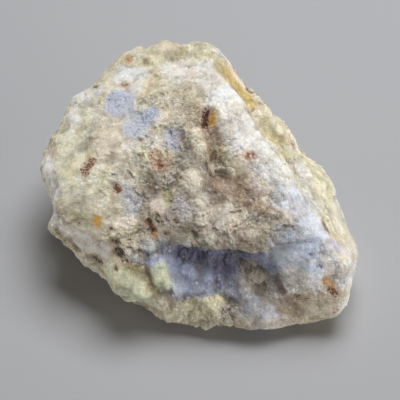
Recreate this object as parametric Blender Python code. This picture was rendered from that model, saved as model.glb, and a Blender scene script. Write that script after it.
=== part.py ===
"""Raw hackmanite: one rough, broken lump of a pale stone, lying on a small flat of its underside.

Blender 4.5, metres, +Z up. The origin is the middle of the footprint, on the plane that the stone rests on.
The skin is a cube rounded to a ball, with each point moved out along its ray from the stone's heart.
All sizes below are in mm, and all places on the stone are measured from its heart.
"""

import bpy
import bmesh
import numpy as np

MM = 0.001
NAME = "hackmanite_stone"

HEART = (0.6, -1.7, 16.0)  # the point that every ray starts from, above the plane that the stone rests on
GRID = 28  # squares along each edge of the rounded cube
EDGE_CRISPNESS = 22.0  # higher leaves a sharper edge where two broken faces meet
STONE_COLOUR = (0.53, 0.50, 0.42, 1.0)
STONE_ROUGHNESS = 0.6

# Broken faces: compass angle of the outward normal (0 is +X, 90 is +Y), its tilt above the horizontal,
# both in degrees, and the face's distance from the heart.
BROKEN_FACES = {
    "plateau": (195, 72, 15.8),
    "middle_slope": (262, 62, 13.4),
    "right_slope": (10, 40, 18.9),
    "right_wall": (22, -6, 26.0),
    "back_right_top": (28, 30, 19.6),
    "back_top": (92, 38, 28.0),
    "back_wall": (94, -5, 32.0),
    "back_right_wall": (40, -5, 24.5),
    "front": (272, 23, 20.9),
    "left_wall": (183, 12, 32.0),
    "left_front": (232, -20, 27.8),
    "front_under": (272, -62, 24.6),
    "left_under": (185, -56, 20.0),
    "back_left": (138, 15, 30.5),
    "front_right": (322, 2, 36.5),
    "right_low": (345, -30, 34.8),
    "right_under": (60, -50, 19.6),
    "back_under": (150, -48, 20.8),
    "left_shoulder": (190, 40, 25.5),
    "front_left_shoulder": (235, 25, 24.5),
}

# Knobs and hollows: place, radius, and how far it stands out (below 0 is a hollow).
KNOBS = {
    "top_knob": ((-7.5, 22, 15), 5.0, 2.0),
    "top_right_knob": ((0, 21, 14), 6.0, 0.8),
    "left_knob": ((-31, 1, 3), 6.0, 1.0),
    "upper_left_bulge": ((-24.5, 10.5, 10), 5.0, 0.4),
    "lower_left_lobe": ((-14.5, -24, -3), 6.5, 2.2),
    "lilac_lump": ((11.5, -26.5, -8.5), 4.5, 1.6),
    "foot": ((27, -24, -8.5), 6.5, 2.4),
    "right_rim_upper": ((18, 7, 6), 5.5, 1.6),
    "right_rim_middle": ((24.5, 0.5, 1.5), 7.5, 2.8),
    "blue_block": ((20, -22, 0), 5.5, 2.2),
    "blue_lump": ((-2, -23, -3.5), 5.0, 1.3),
    "blue_middle": ((8.5, -23, -5), 4.5, 1.5),
    "round_boss": ((-2, -8, 11), 4.0, 0.8),
    "lip_boss": ((-1.5, -16, 7), 5.0, 1.0),
    "pale_boss": ((-9, -14, 7), 3.5, 0.9),
    "trough": ((-9, -10, 9.5), 8.0, -1.1),
    "middle_hollow": ((6.5, -11, 9.5), 9.0, -1.1),
    "left_notch": ((-31, -6, 0), 6.5, -2.0),
    "left_top_hollow": ((-29, 11, 7), 7.0, -1.6),
    "amber_hollow": ((7.5, 13, 15.5), 6.5, -1.5),
    "yellow_hollow": ((15.5, 3, 11), 5.0, -1.4),
    "violet_hollow": ((12.5, -23, -3), 5.0, -2.2),
    "lower_left_hollow": ((-3, -27, -9.5), 6.0, -2.2),
    "back_bulge": ((-6, 30, 2), 9.0, 1.4),
    "back_hollow": ((9, 25, 4), 8.0, -1.8),
    "back_left_hollow": ((-25, 17, -3), 8.0, -1.6),
    "right_low_hollow": ((22, 6, -7), 7.0, -1.5),
}

# Bands: the points that one runs through, its half width, and how far it stands out (below 0 is a groove).
BANDS = {
    "crest": (((-1, 12, 18), (4, 4, 17.5), (9, -3.5, 14.5), (14, -8.5, 11), (19, -13.5, 7.5)), 3.5, 1.2),
    "under_crest": (((1, 3, 17), (2.5, -0.5, 15.5), (4, -4.5, 13.5), (5, -7, 12), (4, -11, 9)), 1.8, -1.2),
    "beside_boss": (((-5.5, 2, 14.5), (-2.5, -5, 12)), 2.6, -0.8),
    "cove": (((-8, -21.5, 0.5), (2, -22, 0), (12, -22, -0.5)), 5.0, -2.0),
    "lobe_crease": (((-12.5, -21.5, 0.5), (-9.5, -23, -3), (-6, -24.5, -7.5)), 1.8, -1.8),
    "bottom_rim": (((0, -26, -9), (6, -26.5, -10), (12, -27, -11), (20, -27, -10.5)), 3.5, 1.2),
    "blue_crack": (((2, -20, -1), (3, -21, -3), (4.5, -24, -6)), 1.4, -1.4),
    "block_crack": (((14, -20, 4), (15.5, -21.5, -1), (15, -24, -5)), 1.7, -1.5),
    "left_rim_crease": (((-28, -13, -1), (-24, -16.5, -1.5), (-19, -19.5, -1.5)), 1.4, -1.1),
    "shelf_edge": (((8, 10, 17), (13, 5, 13), (18, 1, 9), (22, -6, 5)), 2.5, -0.8),
}

# Steps: the points of the lip, the way that the low side lies, and the drop, the lip's width and the reach.
STEPS = {
    "front_lip": (
        ((-10, -18.5, 5), (-3, -19.5, 4.8), (4, -20, 4.2), (9.5, -20, 2.5), (14, -20, 3.8), (24, -18.5, 5)),
        (0, -0.5, -0.86),
        (2.1, 1.1, 6.5),
    ),
    "crest_fall": (
        ((2, 14, 18.5), (6, 8, 18), (9.5, 1, 15.5), (14, -4.5, 13), (19, -9.5, 9), (22.5, -15, 6)),
        (0.8, 0.3, -0.5),
        (1.1, 1.6, 6.0),
    ),
    "rim_ledge": (
        ((-6, -25, -5.5), (1, -26, -7), (8, -26, -8), (15, -26, -7), (23, -26, -5)),
        (0, 0.3, 0.95),
        (1.1, 1.0, 4.5),
    ),
    "left_lip": (
        ((-29, -12.5, 0), (-24, -15, 2), (-19.5, -16.5, 3.2), (-14, -17, 4.5), (-10, -14, 6.5)),
        (-0.1, -0.7, -0.7),
        (0.9, 0.7, 5.0),
    ),
    "back_ledge": (
        ((-21, 22, 1), (-13, 27, 4), (-6, 29, 4), (1, 28, 9), (8, 24, 12)),
        (0.2, 0.5, -0.85),
        (1.3, 2.0, 7.0),
    ),
}

# Wander: knobs, lines and chips are bent by smooth shifts. Size of one swing and how far it shifts.
WANDER = ((6.0, 1.1), (2.2, 0.45))

# Broken relief all over: size of one chip, and how far it stands out (below 0 turns the dishes into lumps).
RELIEF = ((9.0, 1.3), (4.5, -0.6))


def unit(compass, tilt):
    """Unit vectors for compass angles and tilts in degrees."""
    a, t = np.radians(compass), np.radians(tilt)
    return np.stack([np.cos(t) * np.cos(a), np.cos(t) * np.sin(a), np.sin(t)], axis=-1)


def core(rays):
    """Radius of the bare block: the soft smallest of the distances to the planes of the broken faces."""
    compass, tilt, distance = np.array(list(BROKEN_FACES.values()), float).T
    reach = np.clip(rays @ unit(compass, tilt).T / distance, 0, None)
    return (reach**EDGE_CRISPNESS).sum(axis=1) ** (-1 / EDGE_CRISPNESS)


def smooth(t):
    """0 below 0, 1 above 1, and an S curve between."""
    t = np.clip(t, 0, 1)
    return t * t * (3 - 2 * t)


def dice(cells, seed, count):
    """Repeatable numbers from 0 to 1 for whole-number cells, by multiplying and shifting their coordinates."""
    x, y, z = (cells[..., k].astype(np.int64).astype(np.uint64) for k in range(3))
    key = x * np.uint64(0x9E3779B97F4A7C15) ^ y * np.uint64(0xC2B2AE3D27D4EB4F) ^ z * np.uint64(0x165667B19E3779F9)
    drawn = []
    for k in range(count):
        n = key + np.uint64((seed * 97 + k + 1) * 0x51ED270B)
        n = (n ^ (n >> np.uint64(31))) * np.uint64(0xBF58476D1CE4E5B9)
        n = (n ^ (n >> np.uint64(29))) * np.uint64(0x94D049BB133111EB)
        drawn.append(((n ^ (n >> np.uint64(32))) >> np.uint64(11)).astype(float) / 2**53)
    return np.stack(drawn, axis=-1)


def mottle(points, size, seed, count):
    """Smooth numbers from -1 to 1: random ones at the corners of a grid of cubes, blended in between."""
    scaled = points / size
    home = np.floor(scaled)
    within = smooth(scaled - home)
    blend = np.zeros((len(points), count))
    for corner in np.ndindex(2, 2, 2):
        share = np.where(corner, within, 1 - within).prod(axis=1)
        blend += share[:, None] * dice(home + corner, seed, count)
    return 2 * blend - 1


def chips(points, size, seed):
    """Chips that meet at edges: the lowest of the tilted dishes around the seed points nearby, about 0."""
    scaled = points / size
    home = np.floor(scaled)
    best = np.full(len(points), np.inf)
    for beside in np.ndindex(3, 3, 3):
        cell = home + np.array(beside) - 1
        drawn = dice(cell, seed, 6)
        away = scaled - cell - drawn[:, :3]
        tilt = (drawn[:, 3:] - 0.5) * 1.2
        best = np.minimum(best, 1.1 * (away**2).sum(axis=1) + (tilt * away).sum(axis=1))
    return best - 0.25


def knob(points, place, radius, height):
    """A rounded bump: its height falls along a bell curve to nothing at the radius."""
    return height * smooth(1 - np.linalg.norm(points - place, axis=1) / radius)


def along(points, route):
    """Where each point lies from a route of straight runs: the shift from it, and the share of the way along."""
    nearest, shift, share = np.full(len(points), np.inf), np.zeros(points.shape), np.zeros(len(points))
    for i in range(len(route) - 1):
        start, run = np.array(route[i], float), np.subtract(route[i + 1], route[i])
        t = np.clip((points - start) @ run / (run @ run), 0, 1)
        away = points - start - t[:, None] * run
        far = np.linalg.norm(away, axis=1)
        closer = far < nearest
        shift[closer], share[closer] = away[closer], ((i + t) / (len(route) - 1))[closer]
        nearest = np.minimum(nearest, far)
    return shift, share


def fade(share):
    """Fades a line out over the last fifth at either end."""
    return smooth(5 * share) * smooth(5 * (1 - share))


def band(points, route, half_width, height):
    """A ridge or groove along a route: a bell curve across it, fading out at its ends."""
    shift, share = along(points, route)
    return height * smooth(1.25 - np.linalg.norm(shift, axis=1) / half_width) * fade(share)


def step(points, route, low_side, sizes):
    """A drop below a lip: full just past the lip, and fading out at its reach and at the lip's ends."""
    drop, width, reach = sizes
    shift, share = along(points, route)
    past = shift @ np.array(low_side, float) / np.linalg.norm(low_side)
    return -drop * smooth(past / width) * smooth(1.4 - np.linalg.norm(shift, axis=1) / reach) * fade(share)


def relief(points):
    """How far the surface stands out from the bare block: knobs, bands, steps and broken relief."""
    bent = points.copy()
    for seed, (size, shift) in enumerate(WANDER):
        bent += shift * mottle(points, size, 50 + seed, 3)
    out = np.zeros(len(points))
    for place, radius, height in KNOBS.values():
        out += knob(bent, place, radius, height)
    for route, half_width, height in BANDS.values():
        out += band(bent, route, half_width, height)
    for route, low_side, sizes in STEPS.values():
        out += step(bent, route, low_side, sizes)
    for seed, (size, height) in enumerate(RELIEF):
        out += height * chips(bent, size, seed)
    return out


def skin(rays):
    """Points of the stone's surface in mm, one for each unit ray from the heart, cut off flat where it rests."""
    points = rays * core(rays)[:, None]
    points += rays * relief(points)[:, None] + HEART
    points[:, 2] = np.maximum(points[:, 2], 0)
    return points


def rounded_cube():
    """A cube cut into an even grid, as a bmesh of triangles."""
    cube = bmesh.new()
    bmesh.ops.create_cube(cube, size=2)
    bmesh.ops.subdivide_edges(cube, edges=cube.edges[:], cuts=GRID - 1, use_grid_fill=True)
    bmesh.ops.triangulate(cube, faces=cube.faces[:])
    return cube


def pale_stone():
    """Plain pale cream stone with a dull, slightly waxy skin."""
    material = bpy.data.materials.new("pale_stone")
    material.use_nodes = True
    surface = material.node_tree.nodes["Principled BSDF"]
    surface.inputs["Base Color"].default_value = STONE_COLOUR
    surface.inputs["Roughness"].default_value = STONE_ROUGHNESS
    surface.inputs["Metallic"].default_value = 0.0
    return material


def build():
    """The stone as one closed mesh, in a collection of its own."""
    for obj in list(bpy.data.objects):
        bpy.data.objects.remove(obj)
    cube = rounded_cube()
    mesh = bpy.data.meshes.new(NAME)
    cube.to_mesh(mesh)
    cube.free()
    corners = np.empty(len(mesh.vertices) * 3)
    mesh.vertices.foreach_get("co", corners)
    rays = np.tan(corners.reshape(-1, 3) * np.pi / 4)
    rays /= np.linalg.norm(rays, axis=1, keepdims=True)
    mesh.vertices.foreach_set("co", (skin(rays) * MM).ravel())
    mesh.update()
    mesh.materials.append(pale_stone())
    stone = bpy.data.objects.new(NAME, mesh)
    collection = bpy.data.collections.new("raw_hackmanite")
    collection.objects.link(stone)
    bpy.context.scene.collection.children.link(collection)


build()
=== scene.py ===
"""Raw hackmanite: one rough, broken lump of pale stone with violet-blue patches and rust spots.

Blender 4.5, metres, +Z up. Places on the stone are in mm from its heart, or are a ray's compass angle
and tilt in degrees.
"""

import math

import bpy
import numpy as np
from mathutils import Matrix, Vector


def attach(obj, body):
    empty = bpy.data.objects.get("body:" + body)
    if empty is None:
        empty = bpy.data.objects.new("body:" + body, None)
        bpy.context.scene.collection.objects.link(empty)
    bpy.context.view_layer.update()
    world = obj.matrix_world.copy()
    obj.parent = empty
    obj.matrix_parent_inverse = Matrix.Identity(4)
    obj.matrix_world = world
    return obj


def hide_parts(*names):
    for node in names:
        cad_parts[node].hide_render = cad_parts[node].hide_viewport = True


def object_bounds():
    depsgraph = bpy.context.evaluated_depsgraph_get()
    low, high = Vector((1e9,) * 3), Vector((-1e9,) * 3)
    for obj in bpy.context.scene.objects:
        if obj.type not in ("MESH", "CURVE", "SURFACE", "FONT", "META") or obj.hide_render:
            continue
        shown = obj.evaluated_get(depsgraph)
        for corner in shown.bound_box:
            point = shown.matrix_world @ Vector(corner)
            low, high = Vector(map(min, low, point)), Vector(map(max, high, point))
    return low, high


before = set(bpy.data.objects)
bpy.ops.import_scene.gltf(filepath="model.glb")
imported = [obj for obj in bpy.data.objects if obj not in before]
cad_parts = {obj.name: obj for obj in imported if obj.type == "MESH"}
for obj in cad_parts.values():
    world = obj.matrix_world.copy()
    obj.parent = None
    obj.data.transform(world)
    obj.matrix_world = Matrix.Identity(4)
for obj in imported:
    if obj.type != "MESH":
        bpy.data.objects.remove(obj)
CAD_BOX = [[float(v) for v in corner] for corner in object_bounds()]


# --- Camera ---------------------------------------------------------------------------------------------
# A long lens looks down on the stone from its front. Its frame is 400 by 400, and the marks further down
# name places in it as across and down.
FRAME_SIDE = 400
CAMERA_TILT = 50.0  # degrees above the horizon
CAMERA_DISTANCE = 0.280
CAMERA_TARGET = (0.0006, -0.0077, 0.0170)
FRAME_WIDTH = 0.080  # how much of the world the frame spans at the target

tilt = math.radians(CAMERA_TILT)
camera_back = np.array([0.0, -math.cos(tilt), math.sin(tilt)])
camera_up = np.array([0.0, math.sin(tilt), math.cos(tilt)])
camera_place = np.array(CAMERA_TARGET) + camera_back * CAMERA_DISTANCE

lens = bpy.data.cameras.new("camera")
lens.sensor_width = 36.0
lens.lens = lens.sensor_width * CAMERA_DISTANCE / FRAME_WIDTH
lens.clip_start = 0.01
lens.clip_end = 10.0
camera = bpy.data.objects.new("camera", lens)
camera.location = camera_place
camera.rotation_euler = (math.radians(90 - CAMERA_TILT), 0.0, 0.0)
bpy.context.scene.collection.objects.link(camera)
bpy.context.scene.camera = camera


# --- Stone: form ----------------------------------------------------------------------------------------
# One natural lump, broken from a larger mass: flat broken faces meet at soft edges, with a front ledge over
# a hollow, a crest down the right side, and chips and sugary lumps all over. Its skin is a cube rounded to a
# ball, with every point moved out along its ray from the heart.
MM = 0.001
HEART = np.array([0.6, -1.7, 16.0])
GRID = 128  # squares along each edge of the rounded cube
EDGE_CRISPNESS = 22.0

# Broken faces: compass angle of the outward normal (0 is +X, 90 is +Y), its tilt above the horizontal,
# both in degrees, and the face's distance from the heart.
BROKEN_FACES = {
    "plateau": (195, 72, 15.8),
    "middle_slope": (262, 62, 13.4),
    "right_slope": (10, 40, 18.9),
    "right_wall": (22, -6, 26.0),
    "back_right_top": (28, 30, 19.6),
    "back_top": (92, 38, 28.0),
    "back_wall": (94, -5, 32.0),
    "back_right_wall": (40, -5, 24.5),
    "front": (272, 23, 20.9),
    "left_wall": (183, 12, 32.0),
    "left_front": (232, -20, 27.8),
    "front_under": (272, -62, 24.6),
    "left_under": (185, -56, 20.0),
    "back_left": (138, 15, 30.5),
    "front_right": (322, 2, 36.5),
    "right_low": (345, -30, 34.8),
    "right_under": (60, -50, 19.6),
    "back_under": (150, -48, 20.8),
    "left_shoulder": (190, 40, 25.5),
    "front_left_shoulder": (235, 25, 24.5),
}

# Knobs and hollows: place, radius, and how far it stands out (below 0 is a hollow).
KNOBS = {
    "top_knob": ((-7.5, 22, 15), 5.0, 2.0),
    "top_right_knob": ((0, 21, 14), 6.0, 0.8),
    "left_knob": ((-31, 1, 3), 6.0, 1.0),
    "upper_left_bulge": ((-24.5, 10.5, 10), 5.0, 0.4),
    "lower_left_lobe": ((-14.5, -24, -3), 6.5, 2.2),
    "lilac_lump": ((11.5, -26.5, -8.5), 4.5, 1.6),
    "foot": ((27, -24, -8.5), 6.5, 2.4),
    "right_rim_upper": ((18, 7, 6), 5.5, 1.6),
    "right_rim_middle": ((24.5, 0.5, 1.5), 7.5, 2.8),
    "blue_block": ((20, -22, 0), 5.5, 2.2),
    "blue_lump": ((-2, -23, -3.5), 5.0, 1.3),
    "blue_middle": ((8.5, -23, -5), 4.5, 1.5),
    "round_boss": ((-2, -8, 11), 4.0, 0.8),
    "lip_boss": ((-1.5, -16, 7), 5.0, 1.0),
    "pale_boss": ((-9, -14, 7), 3.5, 0.9),
    "trough": ((-9, -10, 9.5), 8.0, -1.1),
    "middle_hollow": ((6.5, -11, 9.5), 9.0, -1.1),
    "left_notch": ((-31, -6, 0), 6.5, -2.0),
    "left_top_hollow": ((-29, 11, 7), 7.0, -1.6),
    "amber_hollow": ((7.5, 13, 15.5), 6.5, -1.5),
    "yellow_hollow": ((15.5, 3, 11), 5.0, -1.4),
    "violet_hollow": ((12.5, -23, -3), 5.0, -2.2),
    "lower_left_hollow": ((-3, -27, -9.5), 6.0, -2.2),
    "back_bulge": ((-6, 30, 2), 9.0, 1.4),
    "back_hollow": ((9, 25, 4), 8.0, -1.8),
    "back_left_hollow": ((-25, 17, -3), 8.0, -1.6),
    "right_low_hollow": ((22, 6, -7), 7.0, -1.5),
}

# Bands: the points that one runs through, its half width, and how far it stands out (below 0 is a groove).
BANDS = {
    "crest": (((-1, 12, 18), (4, 4, 17.5), (9, -3.5, 14.5), (14, -8.5, 11), (19, -13.5, 7.5)), 3.5, 1.2),
    "under_crest": (((1, 3, 17), (2.5, -0.5, 15.5), (4, -4.5, 13.5), (5, -7, 12), (4, -11, 9)), 1.8, -1.2),
    "beside_boss": (((-5.5, 2, 14.5), (-2.5, -5, 12)), 2.6, -0.8),
    "cove": (((-8, -21.5, 0.5), (2, -22, 0), (12, -22, -0.5)), 5.0, -2.0),
    "lobe_crease": (((-12.5, -21.5, 0.5), (-9.5, -23, -3), (-6, -24.5, -7.5)), 1.8, -1.8),
    "bottom_rim": (((0, -26, -9), (6, -26.5, -10), (12, -27, -11), (20, -27, -10.5)), 3.5, 1.2),
    "blue_crack": (((2, -20, -1), (3, -21, -3), (4.5, -24, -6)), 1.4, -1.4),
    "block_crack": (((14, -20, 4), (15.5, -21.5, -1), (15, -24, -5)), 1.7, -1.5),
    "left_rim_crease": (((-28, -13, -1), (-24, -16.5, -1.5), (-19, -19.5, -1.5)), 1.4, -1.1),
    "shelf_edge": (((8, 10, 17), (13, 5, 13), (18, 1, 9), (22, -6, 5)), 2.5, -0.8),
}

# Steps: the points of the lip, the way that the low side lies, and the drop, the lip's width and the reach.
STEPS = {
    "front_lip": (
        ((-10, -18.5, 5), (-3, -19.5, 4.8), (4, -20, 4.2), (9.5, -20, 2.5), (14, -20, 3.8), (24, -18.5, 5)),
        (0, -0.5, -0.86),
        (2.1, 1.1, 6.5),
    ),
    "crest_fall": (
        ((2, 14, 18.5), (6, 8, 18), (9.5, 1, 15.5), (14, -4.5, 13), (19, -9.5, 9), (22.5, -15, 6)),
        (0.8, 0.3, -0.5),
        (1.1, 1.6, 6.0),
    ),
    "rim_ledge": (
        ((-6, -25, -5.5), (1, -26, -7), (8, -26, -8), (15, -26, -7), (23, -26, -5)),
        (0, 0.3, 0.95),
        (1.1, 1.0, 4.5),
    ),
    "left_lip": (
        ((-29, -12.5, 0), (-24, -15, 2), (-19.5, -16.5, 3.2), (-14, -17, 4.5), (-10, -14, 6.5)),
        (-0.1, -0.7, -0.7),
        (0.9, 0.7, 5.0),
    ),
    "back_ledge": (
        ((-21, 22, 1), (-13, 27, 4), (-6, 29, 4), (1, 28, 9), (8, 24, 12)),
        (0.2, 0.5, -0.85),
        (1.3, 2.0, 7.0),
    ),
}

# Wander: knobs, lines and chips are bent by smooth shifts. Size of one swing and how far it shifts.
WANDER = ((6.0, 1.1), (2.2, 0.45))

# Broken relief all over: size of one chip, and how far it stands out (below 0 turns the dishes into lumps).
RELIEF = ((9.0, 1.3), (4.5, -0.6))


def unit(compass, tilt):
    """Unit vectors for compass angles and tilts in degrees."""
    a, t = np.radians(compass), np.radians(tilt)
    return np.stack([np.cos(t) * np.cos(a), np.cos(t) * np.sin(a), np.sin(t)], axis=-1)


def core(rays):
    """Radius of the bare block: the soft smallest of the distances to the planes of the broken faces."""
    compass, tilt, distance = np.array(list(BROKEN_FACES.values()), float).T
    reach = np.clip(rays @ unit(compass, tilt).T / distance, 0, None)
    return (reach**EDGE_CRISPNESS).sum(axis=1) ** (-1 / EDGE_CRISPNESS)


def smooth(t):
    """0 below 0, 1 above 1, and an S curve between."""
    t = np.clip(t, 0, 1)
    return t * t * (3 - 2 * t)


def dice(cells, seed, count):
    """Repeatable numbers from 0 to 1 for whole-number cells: their coordinates, multiplied and shifted."""
    x, y, z = (cells[..., k].astype(np.int64).astype(np.uint64) for k in range(3))
    key = x * np.uint64(0x9E3779B97F4A7C15) ^ y * np.uint64(0xC2B2AE3D27D4EB4F)
    key = key ^ z * np.uint64(0x165667B19E3779F9)
    drawn = []
    for k in range(count):
        n = key + np.uint64((seed * 97 + k + 1) * 0x51ED270B)
        n = (n ^ (n >> np.uint64(31))) * np.uint64(0xBF58476D1CE4E5B9)
        n = (n ^ (n >> np.uint64(29))) * np.uint64(0x94D049BB133111EB)
        drawn.append(((n ^ (n >> np.uint64(32))) >> np.uint64(11)).astype(float) / 2**53)
    return np.stack(drawn, axis=-1)


def mottle(points, size, seed, count):
    """Smooth numbers from -1 to 1: random ones at the corners of a grid of cubes, blended in between."""
    scaled = points / size
    home = np.floor(scaled)
    within = smooth(scaled - home)
    blend = np.zeros((len(points), count))
    for corner in np.ndindex(2, 2, 2):
        share = np.where(corner, within, 1 - within).prod(axis=1)
        blend += share[:, None] * dice(home + corner, seed, count)
    return 2 * blend - 1


def chips(points, size, seed):
    """Chips that meet at edges: the lowest of the tilted dishes around the seed points nearby, about 0."""
    scaled = points / size
    home = np.floor(scaled)
    best = np.full(len(points), np.inf)
    for beside in np.ndindex(3, 3, 3):
        cell = home + np.array(beside) - 1
        drawn = dice(cell, seed, 6)
        away = scaled - cell - drawn[:, :3]
        tilt = (drawn[:, 3:] - 0.5) * 1.2
        best = np.minimum(best, 1.1 * (away**2).sum(axis=1) + (tilt * away).sum(axis=1))
    return best - 0.25


def knob(points, place, radius, height):
    """A rounded bump: its height falls along a bell curve to nothing at the radius."""
    return height * smooth(1 - np.linalg.norm(points - place, axis=1) / radius)


def along(points, route):
    """Where each point lies from a route of straight runs: the shift from it, and its share of the way."""
    nearest, shift, share = np.full(len(points), np.inf), np.zeros(points.shape), np.zeros(len(points))
    for i in range(len(route) - 1):
        start, run = np.array(route[i], float), np.subtract(route[i + 1], route[i])
        t = np.clip((points - start) @ run / (run @ run), 0, 1)
        away = points - start - t[:, None] * run
        far = np.linalg.norm(away, axis=1)
        closer = far < nearest
        shift[closer], share[closer] = away[closer], ((i + t) / (len(route) - 1))[closer]
        nearest = np.minimum(nearest, far)
    return shift, share


def fade(share):
    """Fades a line out over the last fifth at either end."""
    return smooth(5 * share) * smooth(5 * (1 - share))


def band(points, route, half_width, height):
    """A ridge or groove along a route: a bell curve across it, fading out at its ends."""
    shift, share = along(points, route)
    return height * smooth(1.25 - np.linalg.norm(shift, axis=1) / half_width) * fade(share)


def step(points, route, low_side, sizes):
    """A drop below a lip: full just past the lip, and fading out at its reach and at the lip's ends."""
    drop, width, reach = sizes
    shift, share = along(points, route)
    past = shift @ np.array(low_side, float) / np.linalg.norm(low_side)
    return -drop * smooth(past / width) * smooth(1.4 - np.linalg.norm(shift, axis=1) / reach) * fade(share)


def wandered(points):
    """The points, moved by the sum of smooth shifts of the sizes in WANDER."""
    bent = points.copy()
    for seed, (size, shift) in enumerate(WANDER):
        bent += shift * mottle(points, size, 50 + seed, 3)
    return bent


def relief(points):
    """How far the surface stands out from the bare block: knobs, bands, steps and broken relief."""
    bent = wandered(points)
    out = np.zeros(len(points))
    for place, radius, height in KNOBS.values():
        out += knob(bent, place, radius, height)
    for route, half_width, height in BANDS.values():
        out += band(bent, route, half_width, height)
    for route, low_side, sizes in STEPS.values():
        out += step(bent, route, low_side, sizes)
    for seed, (size, height) in enumerate(RELIEF):
        out += height * chips(bent, size, seed)
    return out


# Fine relief on top, where the stone is grainy. Chips: size of one, and how far it stands out (below 0 turns
# the dishes into lumps). Flakes: size of one, how high its steps are, and how much lighter or darker it is.
SUGAR = ((3.3, 0.40), (2.3, -0.22), (0.8, -0.20))
FLAKES = ((3.0, 0.38, 0.06), (1.5, 0.36, 0.085))


def rounded_cube(count):
    """Unit rays and faces of a rounded cube: two angles from -45 to 45 degrees on each of its six sides."""
    side = np.tan(np.linspace(-1, 1, count + 1) * np.pi / 4)
    across, up = np.meshgrid(side, side)
    flat = np.stack([np.ones(across.size), across.ravel(), up.ravel()], axis=1)
    sides = [np.roll(flat * (sign, sign, 1), shift, axis=1) for shift in range(3) for sign in (1, -1)]
    corners = np.concatenate(sides)
    keys = np.round((corners + 1) * 1e6).astype(np.int64)
    _, kept, same = np.unique(keys @ (1, 10**7, 10**14), return_index=True, return_inverse=True)
    rays = corners[kept] / np.linalg.norm(corners[kept], axis=1, keepdims=True)
    row, column = np.meshgrid(np.arange(count), np.arange(count), indexing="ij")
    first = (row * (count + 1) + column).ravel()
    square = np.stack([first, first + 1, first + count + 2, first + count + 1], axis=1)
    starts = np.arange(6)[:, None, None] * (count + 1) ** 2
    return rays, same.reshape(-1)[(square + starts).reshape(-1, 4)]


def flakes(points, size, seed):
    """Flat tilted flakes with small steps between: how far each stands out, and two draws from -1 to 1."""
    scaled = points / size
    home = np.floor(scaled)
    best, height, draws = np.full(len(points), np.inf), np.zeros(len(points)), np.zeros((len(points), 2))
    for beside in np.ndindex(3, 3, 3):
        cell = home + np.array(beside) - 1
        drawn = dice(cell, seed, 9)
        away = scaled - cell - drawn[:, :3]
        far = (away**2).sum(axis=1)
        tilted = drawn[:, 3] - 0.5 + ((drawn[:, 4:7] - 0.5) * 1.8 * away).sum(axis=1)
        height = np.where(far < best, tilted, height)
        draws = np.where((far < best)[:, None], 2 * drawn[:, 7:] - 1, draws)
        best = np.minimum(best, far)
    return height, draws


def fine_relief(points):
    """How far the chips and flakes stand out, about 0, how warm each flake is, and how light: a random shade
    plus painted light on the flakes that stand out.
    """
    out, light, warmth = np.zeros(len(points)), np.zeros(len(points)), np.zeros(len(points))
    for seed, (size, height) in enumerate(SUGAR):
        out += height * chips(points, size, 20 + seed)
    bent = points + 0.3 * mottle(points, 1.0, 83, 3)
    for seed, (size, height, contrast) in enumerate(FLAKES):
        stands, draws = flakes(bent, size, 40 + seed)
        out += height * stands
        # Painted light: a flake that stands out is made lighter, a sunken one darker.
        light += contrast * (draws[:, 0] + stands)
        warmth += contrast * draws[:, 1]
    return out, light, warmth


FINER_SIDE = (0.0, -0.16, 0.20)  # leans the rays this way, so that the grid is finer over the top and front

rays, squares = rounded_cube(GRID)
rays += FINER_SIDE
rays /= np.linalg.norm(rays, axis=1, keepdims=True)
block = rays * core(rays)[:, None]
bare = block + rays * relief(block)[:, None]


# --- Stone: colour --------------------------------------------------------------------------------------
# Hackmanite grows through a pale, sugary host rock. The stone is mostly cream and grey-white, with
# violet-blue patches where the mineral shows, honey-yellow waxy spots, and rust where iron has stained pits.
CREAM = (0.62, 0.57, 0.45)
PALE_YELLOW = (0.74, 0.71, 0.50)
WHITE = (0.80, 0.79, 0.76)
COOL_WHITE = (0.73, 0.76, 0.78)
PINK_WHITE = (0.74, 0.65, 0.56)
PINK_GREY = (0.60, 0.52, 0.45)
GREY = (0.52, 0.48, 0.41)
DARK_GREY = (0.27, 0.24, 0.20)
TAN = (0.57, 0.44, 0.31)
BROWN = (0.34, 0.25, 0.17)
DARK_BROWN = (0.15, 0.10, 0.065)
OLIVE = (0.40, 0.35, 0.20)
SAGE = (0.52, 0.49, 0.31)
GREY_GREEN = (0.40, 0.40, 0.34)
COOL_GREY = (0.54, 0.56, 0.57)
PALE_SAGE = (0.57, 0.60, 0.43)
MILKY_GREEN = (0.68, 0.68, 0.54)
GOLD = (0.47, 0.35, 0.13)
AMBER = (0.66, 0.37, 0.07)
ORANGE = (0.58, 0.30, 0.10)
RUST = (0.30, 0.11, 0.045)
RUST_BROWN = (0.17, 0.06, 0.03)
RUST_DARK = (0.11, 0.035, 0.02)
LILAC = (0.52, 0.50, 0.57)
PALE_BLUE = (0.62, 0.67, 0.78)
SKY_BLUE = (0.47, 0.51, 0.67)
BLUE = (0.38, 0.43, 0.63)
SLATE_BLUE = (0.29, 0.33, 0.45)
DUSK_BLUE = (0.20, 0.23, 0.33)
LILAC_GREY = (0.36, 0.37, 0.41)
POWDER_BLUE = (0.52, 0.58, 0.72)
ICE_BLUE = (0.64, 0.71, 0.84)
VIOLET = (0.14, 0.15, 0.25)
INDIGO = (0.11, 0.10, 0.17)
BLACK_BROWN = (0.055, 0.045, 0.035)

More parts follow.
